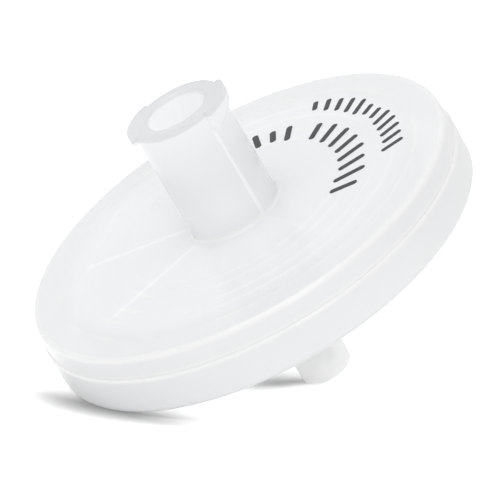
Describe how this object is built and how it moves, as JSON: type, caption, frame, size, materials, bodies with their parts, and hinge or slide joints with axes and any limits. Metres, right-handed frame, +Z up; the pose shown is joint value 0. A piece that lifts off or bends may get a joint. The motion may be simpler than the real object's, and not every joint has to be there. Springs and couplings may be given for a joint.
{
  "type": "syringe filter",
  "caption": "Small translucent disc filter for a syringe, with a female Luer lock inlet neck on one face and a male Luer slip outlet on the other.",
  "frame": {"origin": "bottom centre of the bounding box of the filter lying on a table, on the edge of its rim and the end of its outlet", "axes": "+Z up from the table; the filter's own axis lies in the XZ plane, leaning 34.6 degrees from +Z, with the inlet end towards -X; +Y runs straight across the disc"},
  "size_m": [0.0296, 0.0334, 0.0229],
  "materials": {
    "clear_housing": "natural polypropylene, translucent milky white, moulded smooth and glossy",
    "membrane": "white porous cellulose sheet, matt",
    "ink": "thin black pad print, slightly satin"
  },
  "bodies": {
    "root": {"outlet_housing": "clear_housing", "membrane": "membrane", "inlet_housing": "clear_housing"}
  },
  "joints": []
}
